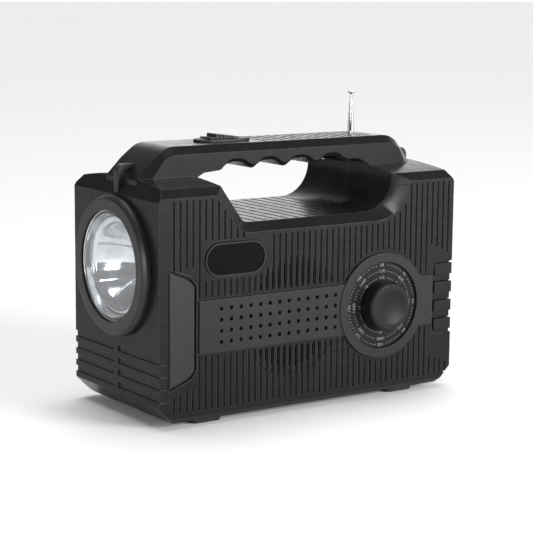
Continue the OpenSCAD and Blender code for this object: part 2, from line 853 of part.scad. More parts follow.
module antenna_tube_1() {
    color([0.8, 0.8, 0.82]) placed() antenna_section(0, mast_z + socket_up + 1);
}

module antenna_tube_2() {
    color([0.8, 0.8, 0.82]) placed() antenna_section(1, tube_top[1] - tube_l);
}

module antenna_tube_3() {
    color([0.8, 0.8, 0.82]) placed() antenna_section(2, tube_top[2] - tube_l + 1);
}

module antenna_rod() {
    color([0.8, 0.8, 0.82]) placed() antenna_section(3, tube_top[3] - tube_l + 2);
}

module antenna_cap() {
    color([0.8, 0.8, 0.82]) placed() translate([mast_x, mast_y, tube_top[3]]) {
        cylinder(h = 1.3, r1 = 1.3, r2 = 2.2, $fn = 32);
        translate([0, 0, 1.3]) cylinder(h = 0.8, r = 2.2, $fn = 32);
    }
}

// ---- crank and gear train ----

module crank_arm() {
    tip = crank_z - arm_reach;
    color([0.12, 0.12, 0.12]) placed() difference() {
        union() {
            along_x(arm_x, arm_x + arm_t) {
                translate([0, crank_z]) circle(r = 9);
                translate([-9, tip + 4]) square([18, arm_reach - 4]);
                translate([0, tip + 4]) circle(r = 9);
            }
            intersection() {
                along_x(arm_x, pin_x + 3.4) translate([-9, tip - 3.4]) square([18, 6.8]);
                along_x(arm_x, pin_x + 4) translate([0, tip + 4]) circle(r = 9);
            }
        }
        block([arm_x - 1, -5.7, tip - 10], [half_l + 5, 5.7, crank_z - 9]);
        rod_x(0, crank_z, 2.5, arm_x - 1, half_l);
        rod_y(pin_x, tip, 1.2, -10, 10);
    }
}

module crank_hinge_pin() {
    color([0.7, 0.7, 0.72]) placed() rod_y(pin_x, crank_z - arm_reach, 1.2, -7.6, 7.6);
}

module crank_knuckle() {
    low = crank_z - arm_reach;
    color([0.65, 0.65, 0.67]) placed() difference() {
        union() {
            rod_y(pin_x, low, 3, -5.4, 5.4);
            translate([pin_x, 0, low]) cylinder(h = 17.4, r = 1.9);
            translate([pin_x, 0, low + 17]) cylinder(h = 1, r = 3);
        }
        rod_y(pin_x, low, 1.2 + fit, -6, 6);
    }
}

module crank_grip() {
    low = crank_z - arm_reach;
    color([0.1, 0.1, 0.1]) placed() translate([pin_x, 0, low]) difference() {
        translate([0, 0, 3.4]) cylinder(h = 16.2, r = grip_r);
        cylinder(h = 16.8, r = 1.9 + fit);
        translate([0, 0, 16.7]) cylinder(h = 5, r = 3.2);
        for (i = [0:11]) rotate([0, 0, 30 * i]) translate([grip_r, 0, 5])
            cylinder(h = 11.6, r = 0.5, $fn = 6);
    }
}

module crank_cap() {
    color([0.12, 0.12, 0.12]) placed() translate([arm_x + arm_t, 0, crank_z]) rotate([0, 90, 0])
        rotate_extrude() polygon([
            [0, 0], [7.5, 0], [7.5, 4.4], [5.6, half_l + end_out - arm_x - arm_t],
            [0, half_l + end_out - arm_x - arm_t]
        ]);
}

module crank_shaft() {
    color([0.7, 0.7, 0.72]) placed() rod_x(0, crank_z, 2.5, 69, arm_x + arm_t);
}

// Involute angle at radius r, and the points of one spur gear
function roll(base, r) = let (t = sqrt(max(0, pow(r / base, 2) - 1))) t * 180 / PI - atan(t);

module gear_2d(teeth, m, turn) {
    pitch = teeth * m / 2;
    base = pitch * cos(20);
    half = 90 / teeth - 0.06 / pitch * 180 / PI + roll(base, pitch);
    radii = [pitch - 1.2 * m, pitch, pitch + 0.9 * m];
    polygon([for (i = [0:teeth - 1], side = [-1, 1], k = [0:2])
        let (r = radii[side < 0 ? k : 2 - k],
             a = turn + i * 360 / teeth + side * (half - roll(base, max(base, r))))
        [r * cos(a), r * sin(a)]]);
}

// A gear about (y, z), spanning x0 to x1, with a round bore
module gear(y, z, teeth, m, turn, x0, x1, bore) {
    translate([0, y, z]) difference() {
        along_x(x0, x1) gear_2d(teeth, m, turn);
        rod_x(0, 0, bore, x0 - 1, x1 + 1);
    }
}

module crank_gear() {
    color([0.9, 0.88, 0.8]) placed() difference() {
        union() {
            gear(0, crank_z, crank_teeth, module_1, -90, 82, 86, 2.5);
            translate([0, 0, crank_z]) difference() {
                rod_x(0, 0, 5, 79, 82);
                rod_x(0, 0, 2.5, 78, 83);
            }
        }
        for (a = [30:60:330]) rod_x(12 * cos(a), crank_z + 12 * sin(a), 3.6, 81, 87);
    }
}

module idler_gear() {
    color([0.9, 0.88, 0.8]) placed() {
        gear(0, idler_z, pinion_teeth, module_1, 90 + 180 / pinion_teeth, 79.5, 86.5, 1.5 + fit);
        gear(0, idler_z, wheel_teeth, module_2, rotor_turn, 75.5, 79.5, 1.5 + fit);
    }
}

module idler_shaft() {
    color([0.7, 0.7, 0.72]) placed() rod_x(0, idler_z, 1.5, 70.5, half_l - well_deep - wall);
}

module generator_pinion() {
    color([0.8, 0.65, 0.3]) placed() {
        gear(rotor_y, rotor_z, rotor_teeth, module_2, rotor_turn + 180 + 180 / rotor_teeth, 75, 80, 1);
        rod_x(rotor_y, rotor_z, 1, 66, 80);
    }
}

module generator_can() {
    color([0.7, 0.7, 0.72]) placed() difference() {
        union() {
            rod_x(rotor_y, rotor_z, 12, 52, 70.5);
            rod_x(rotor_y, rotor_z, 3.4, 70.5, 72.5);
        }
        rod_x(rotor_y, rotor_z, 1 + fit, 65.7, 75);
    }
}

module gear_plate() {
    color([0.6, 0.6, 0.62]) placed() difference() {
        union() {
            block([70.5, -25, 28], [72.5, 28, 104]);
            for (p = [[-21, 99], [24, 99], [-21.5, 54], [24, 62]])
                rod_x(p[0], p[1], 3, 72.5 - near, half_l - well_deep - wall);
        }
        rod_x(0, crank_z, 2.5 + fit, 60, 75);
        rod_x(0, idler_z, 1.5, 60, 75);
        rod_x(rotor_y, rotor_z, 3.4, 60, 75);
    }
}

// ---- battery bay ----

module battery_tray() {
    color([0.2, 0.2, 0.2]) placed() difference() {
        along_y(inside + 0.5 - bay_deep, inside + 0.5) square_at(bay_x, bay_z, bay_l, bay_h);
        along_y(inside + 2 - bay_deep, inside + 2) square_at(bay_x, bay_z, bay_l - 3, bay_h - 3);
    }
}

// A plain rectangle outline about (x, z)
module square_at(x, z, l, h) {
    translate([x - l / 2, z - h / 2]) square([l, h]);
}

module battery_cells() {
    color([0.2, 0.45, 0.3]) placed() for (i = [-1:1]) {
        z = bay_z + 15 * i;
        y = inside + 2.2 - bay_deep + cell_r;
        rod_x(y, z, cell_r, bay_x - cell_l / 2, bay_x + cell_l / 2 - 1.2);
        rod_x(y, z, 2.7, bay_x + cell_l / 2 - 1.2, bay_x + cell_l / 2);
    }
}

module battery_contacts() {
    color([0.8, 0.8, 0.8]) placed() for (i = [-1:1]) {
        z = bay_z + 15 * i;
        y = inside + 2.2 - bay_deep + cell_r;
        block([bay_x + cell_l / 2, y - 4, z - 4], [bay_x + bay_l / 2 - 1.5, y + 4, z + 4]);
        rod_x(y, z, 4, bay_x - bay_l / 2 + 1.5, bay_x - cell_l / 2);
    }
}

module battery_cover() {
    cover_z = bay_z + 0.5;
    color([0.13, 0.13, 0.14]) placed() difference() {
        union() {
            along_y(inside + 0.7, back) round_rect_2d(bay_x, cover_z, cover_l - 0.6, cover_h - 2, 2);
            for (i = [0:5]) block([bay_x - 12, back - near, cover_z + 12 + 2 * i],
                                  [bay_x + 12, back + 0.5, cover_z + 13 + 2 * i]);
            // the pins that the cover swings on
            for (x = [bay_x - 28, bay_x + 16]) rod_x(45.65, 12.9, 0.8, x, x + 12);
        }
        block([bay_x - 5, inside, cover_z + cover_h / 2 - 3], [bay_x + 5, back - 0.8, 80]);
    }
}

// ---- solar window, volume and sockets ----

module solar_cells() {
    color([0.04, 0.06, 0.2]) placed() along_y(back - 1.6, back - 1.1)
        square_at(solar_x, solar_z, solar_l - 6, solar_h - 4);
}

module solar_window() {
    color([0.6, 0.7, 0.8, 0.35]) placed() difference() {
        along_y(back - 1.6, back) round_rect_2d(solar_x, solar_z, solar_l - 0.4, solar_h - 0.4, 2);
        along_y(back - 2, back - 1) square_at(solar_x, solar_z, solar_l - 6, solar_h - 4);
    }
}

module volume_wheel() {
    color([0.08, 0.08, 0.08]) placed()
    translate([wheel_x, back + wheel_out - wheel_r, wheel_z]) difference() {
        translate([0, 0, -2.5]) cylinder(h = 5, r = wheel_r);
        translate([0, 0, -3]) cylinder(h = 6, r = 2 + fit);
        for (i = [0:29]) rotate([0, 0, 12 * i]) translate([wheel_r, 0, -3])
            cylinder(h = 6, r = 0.5, $fn = 6);
    }
}

module volume_control() {
    color([0.6, 0.6, 0.62]) placed() translate([wheel_x, back + wheel_out - wheel_r, wheel_z]) {
        translate([-5.5, -5.5, -8.3]) cube([11, 11, 5]);
        translate([0, 0, -3.4]) cylinder(h = 6.4, r = 2);
        translate([-6, -10, -9.9]) cube([12, 12, 1.6]);
    }
}

module usb_socket() {
    color([0.75, 0.75, 0.77]) placed() {
        difference() {
            along_y(inside - 11, inside + 0.5) square_at(usb_x, flap_z, 15, 7.6);
            along_y(inside - 10, inside + 1) square_at(usb_x, flap_z, 13.2, 5.8);
        }
        along_y(inside - 10 - near, inside - 1) square_at(usb_x, flap_z + 1.5, 11, 1.4);
    }
}

module earphone_socket() {
    color([0.15, 0.15, 0.15]) placed() difference() {
        union() {
            rod_y(jack_x, flap_z, 4, inside - 1, back);
            along_y(inside - 12, inside - 1) square_at(jack_x, flap_z, 8, 8);
        }
        rod_y(jack_x, flap_z, jack_r, back - 12, back + 1);
    }
}

module socket_flap() {
    color([0.06, 0.06, 0.06]) placed() {
        along_y(inside + 0.9, back) round_rect_2d(flap_x, flap_z, flap_l, flap_h, 1.8);
        block([flap_x + flap_l / 2 - 6, back - near, flap_z + 4],
              [flap_x + flap_l / 2 - 1, back + 0.8, flap_z + 7]);
        // bead that the flap bends along
        translate([flap_x - flap_l / 2 + 0.3, back - 0.75, flap_z - 6]) cylinder(h = 12, r = 0.7);
    }
}

front_shell();
rear_shell();
front_trim();
name_plate();
corner_pad();
dial_plate();
tuning_knob();
tuning_spindle();
tuning_capacitor();
key_1();
key_2();
key_3();
key_4();
key_board();
torch_bezel();
torch_lens();
torch_reflector();
torch_led();
switch_plate();
torch_switch();
strap_loop_left();
strap_loop_right();
feet();
case_screws();
speaker_frame();
speaker_cone();
speaker_magnet();
main_board();
ferrite_rod();
ferrite_coil();
antenna_bracket();
antenna_knuckle();
antenna_tube_1();
antenna_tube_2();
antenna_tube_3();
antenna_rod();
antenna_cap();
crank_arm();
crank_cap();
crank_shaft();
crank_gear();
crank_hinge_pin();
crank_knuckle();
crank_grip();
gear_plate();
idler_shaft();
idler_gear();
generator_can();
generator_pinion();
battery_tray();
battery_cells();
battery_contacts();
battery_cover();
solar_cells();
solar_window();
volume_wheel();
volume_control();
usb_socket();
earphone_socket();
socket_flap();
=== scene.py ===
import json
import math

import bmesh
import bpy
from mathutils import Matrix, Vector

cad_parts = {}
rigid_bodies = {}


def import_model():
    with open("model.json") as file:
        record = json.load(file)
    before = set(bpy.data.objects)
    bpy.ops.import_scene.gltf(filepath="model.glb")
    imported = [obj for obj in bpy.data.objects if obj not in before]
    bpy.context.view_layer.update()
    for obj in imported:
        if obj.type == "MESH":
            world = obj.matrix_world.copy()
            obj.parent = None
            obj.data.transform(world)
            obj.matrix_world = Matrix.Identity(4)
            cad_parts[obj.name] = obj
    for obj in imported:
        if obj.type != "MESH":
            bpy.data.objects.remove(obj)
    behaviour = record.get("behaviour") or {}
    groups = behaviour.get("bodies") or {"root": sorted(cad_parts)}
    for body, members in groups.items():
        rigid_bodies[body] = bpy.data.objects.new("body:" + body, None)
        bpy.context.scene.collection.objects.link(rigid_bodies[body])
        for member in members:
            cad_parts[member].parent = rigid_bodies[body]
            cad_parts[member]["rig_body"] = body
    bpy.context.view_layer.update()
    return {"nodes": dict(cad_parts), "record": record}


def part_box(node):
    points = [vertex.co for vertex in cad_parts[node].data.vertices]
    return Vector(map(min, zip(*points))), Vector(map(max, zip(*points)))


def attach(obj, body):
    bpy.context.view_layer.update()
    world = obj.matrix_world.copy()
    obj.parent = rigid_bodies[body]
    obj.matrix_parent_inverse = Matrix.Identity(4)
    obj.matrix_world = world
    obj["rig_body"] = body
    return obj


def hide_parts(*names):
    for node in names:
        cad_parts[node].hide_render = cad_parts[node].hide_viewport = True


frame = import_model()
scene = bpy.context.scene
nodes = frame["nodes"]
MM = 0.001


# ---- where things are, from the frame ----

def middle(node):
    low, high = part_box(node)
    return (low + high) / 2


def add_piece(name, mesh, like, slot):
    """A new piece that moves with the body of the CAD node `like`, with the look of a material slot."""
    mesh.materials.append(MATERIALS[slot])
    piece = bpy.data.objects.new(name, mesh)
    scene.collection.objects.link(piece)
    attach(piece, nodes[like]["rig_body"])
    return piece


# ---- camera ----

CAMERA_AT = Vector((-0.5496, -0.7979, 0.2388))
TURN = math.radians(-34.44)      # direction of view, from +Y
RISE = math.radians(9.62)        # how far the camera looks down
ROLL = math.radians(0.51)


def make_camera():
    data = bpy.data.cameras.new("camera")
    data.lens = 114.7
    data.sensor_width = 36
    data.clip_start = 0.05
    data.clip_end = 20
    back = Vector((math.sin(TURN) * math.cos(RISE), -math.cos(TURN) * math.cos(RISE), math.sin(RISE)))
    right = Vector((math.cos(TURN), math.sin(TURN), 0))
    up = back.cross(right)
    tilted_right = right * math.cos(ROLL) + up * math.sin(ROLL)
    tilted_up = up * math.cos(ROLL) - right * math.sin(ROLL)
    turn = Matrix((tilted_right, tilted_up, back)).transposed().to_4x4()
    camera = bpy.data.objects.new("camera", data)
    camera.matrix_world = Matrix.Translation(CAMERA_AT) @ turn
    scene.collection.objects.link(camera)
    scene.camera = camera


make_camera()


# ---- studio ----

TOWARDS_BACK = Vector((0.75, 0.66, 0))    # the bright side of the studio


def make_stage():
    """A pale floor that runs far back."""
    mesh = bpy.data.meshes.new("studio_floor")
    reach = 14
    corners = [(-reach, -reach, 0), (reach, -reach, 0), (reach, reach, 0), (-reach, reach, 0)]
    mesh.from_pydata(corners, [], [(0, 1, 2, 3)])
    floor = bpy.data.objects.new("studio_floor", mesh)
    scene.collection.objects.link(floor)
    material = bpy.data.materials.new("studio_floor")
    material.use_nodes = True
    shader = material.node_tree.nodes["Principled BSDF"]
    shader.inputs["Base Color"].default_value = (0.92, 0.92, 0.92, 1)
    shader.inputs["Roughness"].default_value = 0.85
    shader.inputs["Specular IOR Level"].default_value = 0.1
    mesh.materials.append(material)


def make_world():
    """White all round to look at, and as light dim in front and bright behind."""
    world = bpy.data.worlds.new("studio")
    world.use_nodes = True
    tree = world.node_tree
    lit = tree.nodes["Background"]
    lit.inputs["Color"].default_value = (1, 1, 1, 1)
    seen = tree.nodes.new("ShaderNodeBackground")
    place = tree.nodes.new("ShaderNodeTexCoord")
    side = tree.nodes.new("ShaderNodeVectorMath")
    side.operation = "DOT_PRODUCT"
    side.inputs[1].default_value = TOWARDS_BACK
    glow = tree.nodes.new("ShaderNodeMapRange")
    glow.interpolation_type = "SMOOTHSTEP"
    glow.inputs["From Min"].default_value = 0.48
    glow.inputs["From Max"].default_value = 0.95
    glow.inputs["To Min"].default_value = 0.16
    glow.inputs["To Max"].default_value = 1.7
    ray = tree.nodes.new("ShaderNodeLightPath")
    mix = tree.nodes.new("ShaderNodeMixShader")
    tree.links.new(place.outputs["Generated"], side.inputs[0])
    tree.links.new(side.outputs["Value"], glow.inputs["Value"])
    tree.links.new(glow.outputs["Result"], lit.inputs["Strength"])
    tree.links.new(ray.outputs["Is Camera Ray"], mix.inputs["Fac"])
    tree.links.new(lit.outputs["Background"], mix.inputs[1])
    tree.links.new(seen.outputs["Background"], mix.inputs[2])
    tree.links.new(mix.outputs["Shader"], tree.nodes["World Output"].inputs["Surface"])
    seen.inputs["Color"].default_value = (1, 1, 1, 1)
    seen.inputs["Strength"].default_value = 1.0
    scene.world = world


def add_light(name, kind, at, power):
    data = bpy.data.lights.new(name, kind)
    data.energy = power
    light = bpy.data.objects.new(name, data)
    light.location = at
    aim = Vector((0, 0, 0.07))
    light.rotation_euler = (aim - Vector(at)).to_track_quat("-Z", "Y").to_euler()
    scene.collection.objects.link(light)
    return data


def soft_box(name, at, width, height, power):
    data = add_light(name, "AREA", at, power)
    data.shape = "RECTANGLE"
    data.size = width
    data.size_y = height


def make_studio():
    make_stage()
    make_world()
    scene.view_settings.view_transform = "Standard"
    sun = add_light("overhead", "SUN", (0.1, 0.35, 2), 1.9)
    sun.angle = math.radians(50)
    soft_box("key_light", (0.9, -1.7, 0.55), 0.9, 0.8, 48)
    soft_box("side_strip", (-1.45, -1.2, 0.34), 0.3, 0.6, 15)
    

make_studio()


# ---- materials ----

class Shader:
    """A node material, built up a step at a time."""

    def __init__(self, name):
        self.material = bpy.data.materials.new(name)
        self.material.use_nodes = True
        self.tree = self.material.node_tree
        self.out = self.tree.nodes["Principled BSDF"]
        self.place = self.node("ShaderNodeTexCoord").outputs["Object"]

    def node(self, kind, **values):
        made = self.tree.nodes.new(kind)
        for key, value in values.items():
            setattr(made, key, value)
        return made

    def link(self, source, target):
        self.tree.links.new(source, target)

    def set(self, socket, value):
        self.out.inputs[socket].default_value = value

    def noise(self, scale, detail=2.0, rough=0.5, stretch=None):
        made = self.node("ShaderNodeTexNoise")
        made.inputs["Scale"].default_value = scale
        made.inputs["Detail"].default_value = detail
        made.inputs["Roughness"].default_value = rough
        source = self.place
        if stretch:
            mapping = self.node("ShaderNodeMapping")
            mapping.inputs["Scale"].default_value = stretch
            self.link(source, mapping.inputs["Vector"])
            source = mapping.outputs["Vector"]
        self.link(source, made.inputs["Vector"])
        return made.outputs["Fac"]

    def spread(self, value, low, high, start=0.3, end=0.7):
        made = self.node("ShaderNodeMapRange")
        made.inputs["From Min"].default_value = start
        made.inputs["From Max"].default_value = end
        made.inputs["To Min"].default_value = low
        made.inputs["To Max"].default_value = high
        self.link(value, made.inputs["Value"])
        return made.outputs["Result"]

    def colours(self, value, *stops):
        made = self.node("ShaderNodeValToRGB")
        ramp = made.color_ramp
        while len(ramp.elements) < len(stops):
            ramp.elements.new(0.5)
        for element, (at, colour) in zip(ramp.elements, stops):
            element.position = at
            element.color = (*colour, 1)
        self.link(value, made.inputs["Fac"])
        return made.outputs["Color"]

    def rounded(self, width):
        """The normal with every edge rounded off by `width`."""
        made = self.node("ShaderNodeBevel", samples=4)
        made.inputs["Radius"].default_value = width
        return made.outputs["Normal"]

    def edges(self, width):
        """1 along a sharp edge, within about `width` of it, and 0 on flat faces."""
        rounded = self.rounded(width)
        flat = self.node("ShaderNodeNewGeometry")
        both = self.node("ShaderNodeVectorMath", operation="DOT_PRODUCT")
        self.link(rounded, both.inputs[0])
        self.link(flat.outputs["Normal"], both.inputs[1])
        return self.spread(both.outputs["Value"], 1, 0, 0.86, 0.995)

    def mix(self, amount, base, colour):
        made = self.node("ShaderNodeMix", data_type="RGBA")
        self.link(amount, made.inputs["Factor"])
        self.link(base, made.inputs["A"])
        made.inputs["B"].default_value = (*colour, 1)
        return made.outputs["Result"]

    def bump(self, height, strength, distance):
        made = self.node("ShaderNodeBump")
        made.inputs["Strength"].default_value = strength
        made.inputs["Distance"].default_value = distance
        self.link(height, made.inputs["Height"])
        before = self.out.inputs["Normal"]
        if before.is_linked:
            self.link(before.links[0].from_socket, made.inputs["Normal"])
        self.link(made.outputs["Normal"], before)


def grey(value):
    return (value, value, value * 1.03)


def plastic(name, tone, rough, grain=0.25, grain_size=0.35, shine=0.3, edge_highlight=3.2):
    """Moulded black plastic: a fine spark-eroded grain, faint flow marks and a painted highlight, with
    sharp edges painted paler as a sheen.
    """
    s = Shader(name)
    flow = s.noise(18, 4, 0.55, (1, 1, 0.35))
    base = s.colours(flow, (0.3, grey(tone * 0.85)), (0.7, grey(tone * 1.15)))
    # Painted highlight: along sharp edges the colour is lifted to a multiple of the tone, a painted sheen
    # on every edge.
    if edge_highlight:
        base = s.mix(s.edges(0.5 * MM), base, grey(tone * edge_highlight))
        s.link(s.rounded(0.5 * MM), s.out.inputs["Normal"])
    s.link(base, s.out.inputs["Base Color"])
    s.link(s.spread(s.noise(140, 3), rough - 0.05, rough + 0.06), s.out.inputs["Roughness"])
    s.set("IOR", 1.49)
    s.set("Specular IOR Level", shine)
    s.bump(s.noise(1 / (grain_size * MM), 3, 0.6), grain, 0.05 * MM)
    s.bump(s.noise(60, 2), 0.06, 0.3 * MM)
    return s.material


def metal(name, tone, rough, brushed=None, tint=(1, 1, 1)):
    s = Shader(name)
    s.set("Metallic", 1.0)
    streaks = s.noise(900, 4, 0.6, brushed or (1, 1, 1))
    low = [tone * 0.9 * c for c in tint]
    high = [min(1, tone * 1.06 * c) for c in tint]
    s.link(s.colours(streaks, (0.3, low), (0.7, high)), s.out.inputs["Base Color"])
    s.link(s.spread(streaks, rough * 0.75, rough * 1.3), s.out.inputs["Roughness"])
    s.bump(streaks, 0.03 if rough < 0.15 else 0.12, 0.02 * MM)
    return s.material


def mirror_cup():
    """Vacuum-metallised plastic: bright, with hazy patches and fine streaks down the cup."""
    s = Shader("mirror_cup")
    s.set("Metallic", 1.0)
    haze = s.noise(70, 5, 0.65, (0.5, 1, 1))
    s.link(s.colours(haze, (0.3, (0.5, 0.51, 0.52)), (0.7, (0.86, 0.87, 0.88))), s.out.inputs["Base Color"])
    s.link(s.spread(haze, 0.16, 0.05), s.out.inputs["Roughness"])
    s.bump(s.noise(420, 3, 0.6, (0.12, 1, 1)), 0.25, 0.1 * MM)
    s.bump(s.noise(55, 2, 0.5), 0.25, 0.5 * MM)
    return s.material


def clear(name, tint=(0.96, 0.98, 1.0)):
    s = Shader(name)
    s.set("Base Color", (*tint, 1))
    s.set("Transmission Weight", 1.0)
    s.set("IOR", 1.49)
    s.link(s.spread(s.noise(300, 3), 0.0, 0.03), s.out.inputs["Roughness"])
    s.bump(s.noise(40, 2), 0.02, 0.1 * MM)
    return s.material


def plain(name, low, high, rough, scale=300, bump=0.1):
    """A general material: two close colours in a fine mottle."""
    s = Shader(name)
    mottle = s.noise(scale, 3)
    s.link(s.colours(mottle, (0.3, low), (0.7, high)), s.out.inputs["Base Color"])
    s.link(s.spread(mottle, rough * 0.85, min(1, rough * 1.15)), s.out.inputs["Roughness"])
    s.bump(mottle, bump, 0.05 * MM)
    return s.material


MATERIALS = {
    # Painted highlight: the edge multiplier paints paler edges as a sheen, and 0 leaves it out.
    "case_plastic": plastic("case_plastic", 0.010, 0.25, shine=0.12, edge_highlight=6),
    "trim_plastic": plastic("trim_plastic", 0.014, 0.36, grain=0.15, shine=0.18),
    "plate_plastic": plastic("plate_plastic", 0.002, 0.42, grain=0.1, shine=0.04, edge_highlight=0),
    "pad_plastic": plastic("pad_plastic", 0.018, 0.40, grain=0.2, shine=0.2),
    "dial_plastic": plastic("dial_plastic", 0.003, 0.40, grain=0.05, shine=0.15, edge_highlight=0),
    "dial_ink": plain("dial_ink", (0.42, 0.42, 0.41), (0.52, 0.52, 0.51), 0.5, 900, 0.05),
    "knob_plastic": plastic("knob_plastic", 0.007, 0.42, grain=0.15, shine=0.16),
    "key_plastic": plastic("key_plastic", 0.008, 0.40, grain=0.15, shine=0.13),
    "bezel_plastic": plastic("bezel_plastic", 0.016, 0.40, grain=0.15, shine=0.35),
    "switch_plastic": plastic("switch_plastic", 0.010, 0.45, grain=0.2),
    "loop_plastic": plastic("loop_plastic", 0.014, 0.45),
    "crank_plastic": plastic("crank_plastic", 0.018, 0.40),
    "grip_plastic": plastic("grip_plastic", 0.016, 0.45),
    "rubber_feet": plastic("rubber_feet", 0.012, 0.7, grain=0.5),
    "flap_rubber": plastic("flap_rubber", 0.014, 0.62, grain=0.4),
    "cone_paper": plastic("cone_paper", 0.012, 0.75, grain=0.6, grain_size=0.8, edge_highlight=0),
    "tray_plastic": plastic("tray_plastic", 0.03, 0.5),
    "socket_plastic": plastic("socket_plastic", 0.015, 0.45),
    "clear_lens": clear("clear_lens"),
    "mirror_cup": mirror_cup(),
    "led": plain("led", (0.75, 0.62, 0.12), (0.85, 0.74, 0.25), 0.3),
    "zinc_steel": metal("zinc_steel", 0.6, 0.35, (1, 1, 6)),
    "magnet_iron": plain("magnet_iron", (0.05, 0.05, 0.052), (0.09, 0.09, 0.09), 0.6, 500, 0.3),
    "board": plain("board", (0.01, 0.09, 0.035), (0.015, 0.12, 0.05), 0.4, 700),
    "ferrite": plain("ferrite", (0.035, 0.033, 0.032), (0.06, 0.055, 0.05), 0.55, 900, 0.3),
    "coil_plastic": plain("coil_plastic", (0.35, 0.12, 0.03), (0.5, 0.2, 0.06), 0.35, 900, 0.3),
    "chrome_parts": metal("chrome_parts", 0.5, 0.14, (1, 1, 0.1)),
    "steel_shafts": metal("steel_shafts", 0.32, 0.3, (8, 1, 1)),
    "gear_plastic": plain("gear_plastic", (0.62, 0.6, 0.52), (0.7, 0.68, 0.6), 0.45),
    "brass_parts": metal("brass_parts", 0.8, 0.25, (1, 6, 1), (1, 0.78, 0.42)),
    "tin_parts": metal("tin_parts", 0.62, 0.3, (1, 6, 1)),
    "cell_jacket": plain("cell_jacket", (0.03, 0.16, 0.07), (0.05, 0.2, 0.09), 0.3, 60, 0.03),
    "solar_silicon": plain("solar_silicon", (0.004, 0.007, 0.03), (0.008, 0.014, 0.06), 0.2, 120, 0.02),
}


def paint_nodes():
    slots = {part["node"]: part["material_slot"] for part in frame["record"]["subparts"]}
    for name, piece in nodes.items():
        piece.data.materials.clear()
        piece.data.materials.append(MATERIALS[slots[name]])


paint_nodes()


# ---- rounded edges on the CAD nodes ----

FINE_EDGE = 0.12      # millimetres, on every small or inner piece
EDGES = {
    "front_shell": 0.25, "rear_shell": 0.3, "front_trim": 0.3, "name_plate": 0.25, "corner_pad": 0.3,
    "key_1": 0.4, "key_2": 0.4, "key_3": 0.4, "key_4": 0.4, "torch_bezel": 0.5, "switch_plate": 0.35,
    "torch_switch": 0.2, "strap_loop_left": 0.6, "strap_loop_right": 0.6, "feet": 0.5,
    "battery_cover": 0.4, "socket_flap": 0.4, "crank_arm": 0.5, "crank_cap": 0.5, "crank_grip": 0.3,
    "crank_knuckle": 0.4, "solar_window": 0.25, "dial_plate": 0.15, "tuning_knob": 0.25,
}


def round_edges(piece, width):
    """Merges the flat facets of a CAD mesh and rounds its sharp edges, as a moulding has them."""
    weld = piece.modifiers.new("weld", "WELD")
    weld.merge_threshold = 0.002 * MM
    flat = piece.modifiers.new("flat", "DECIMATE")
    flat.decimate_type = "DISSOLVE"
    flat.angle_limit = math.radians(0.6)
    bevel = piece.modifiers.new("bevel", "BEVEL")
    bevel.width = width * MM
    bevel.segments = 2
    bevel.limit_method = "ANGLE"
    bevel.angle_limit = math.radians(28)
    bevel.miter_outer = "MITER_SHARP"
    normals = piece.modifiers.new("normals", "WEIGHTED_NORMAL")
    normals.weight = 80
    for polygon in piece.data.polygons:
        polygon.use_smooth = True


for part_name, part in nodes.items():
    round_edges(part, EDGES.get(part_name, FINE_EDGE))


# ---- printed dial ----

INK = 0.04 * MM                  # thickness of the print
FIGURE_SIZE = 2.6 * MM
FIGURE_WIDTH = 0.34              # half of a figure's width, as a share of its size
FIGURE_GAP = 0.25                # clear space beside it, as a share of its size
THINNER = 0.07 * MM              # taken off every stroke
DOT = 0.2 * MM
DIAL_PLACES = 8                  # figures on each ring
DOTS_PER_TURN = 72
DIAL_RINGS = [
    (23.2, ["88", "91", "94", "97", "100", "103", "106", "108"]),
    (19.7, ["530", "600", "700", "850", "1000", "1200", "1400", "1600"]),
    (15.9, ["4.0", "5.5", "7.0", "8.5", "10", "12", "15", "18"]),
]


def on_dial(radius, turn):
    """The place on the dial's face at a turn clockwise from the top, with the top of a figure outwards."""
    low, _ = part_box("dial_plate")
    hub = middle("dial_plate")
    face = Matrix(((1, 0, 0, hub.x), (0, 0, -1, low.y), (0, 1, 0, hub.z), (0, 0, 0, 1)))
    return face @ Matrix.Rotation(-turn, 4, "Z") @ Matrix.Translation((0, radius, 0))


def add_figure(sheet, text, radius, turn):
    curve = bpy.data.curves.new("figure", "FONT")
    curve.body = text
    curve.size = FIGURE_SIZE
    curve.align_x = "CENTER"
    curve.align_y = "CENTER"
    curve.extrude = INK
    curve.offset = -THINNER
    curve.space_character = 1.15
    writer = bpy.data.objects.new("figure", curve)
    mesh = bpy.data.meshes.new_from_object(writer)
    mesh.transform(on_dial(radius, turn))
    sheet.from_mesh(mesh)
    bpy.data.objects.remove(writer)
    bpy.data.meshes.remove(mesh)
    bpy.data.curves.remove(curve)


def add_dots(sheet, radius, figures):
    """A ring of small dots, left out where a figure stands."""
    for step in range(DOTS_PER_TURN):
        turn = 2 * math.pi * step / DOTS_PER_TURN
        nearest = round(turn * DIAL_PLACES / (2 * math.pi))
        text = figures[nearest % DIAL_PLACES]
        clear_of = (FIGURE_WIDTH * len(text) + FIGURE_GAP) * FIGURE_SIZE
        if abs(turn - nearest * 2 * math.pi / DIAL_PLACES) * radius < clear_of:
            continue
        place = on_dial(radius, turn)
        bmesh.ops.create_cone(
            sheet, cap_ends=True, segments=8, radius1=DOT, radius2=DOT, depth=2 * INK, matrix=place
        )


def print_dial():
    sheet = bmesh.new()
    for ring_radius, figures in DIAL_RINGS:
        for place, text in enumerate(figures):
            add_figure(sheet, text, ring_radius * MM, 2 * math.pi * place / DIAL_PLACES)
        add_dots(sheet, ring_radius * MM, figures)
    mesh = bpy.data.meshes.new("dial_figures")
    sheet.to_mesh(mesh)
    sheet.free()
    add_piece("dial_figures", mesh, "dial_plate", "dial_ink")


print_dial()


# ---- torch reflector, finer than the CAD node ----

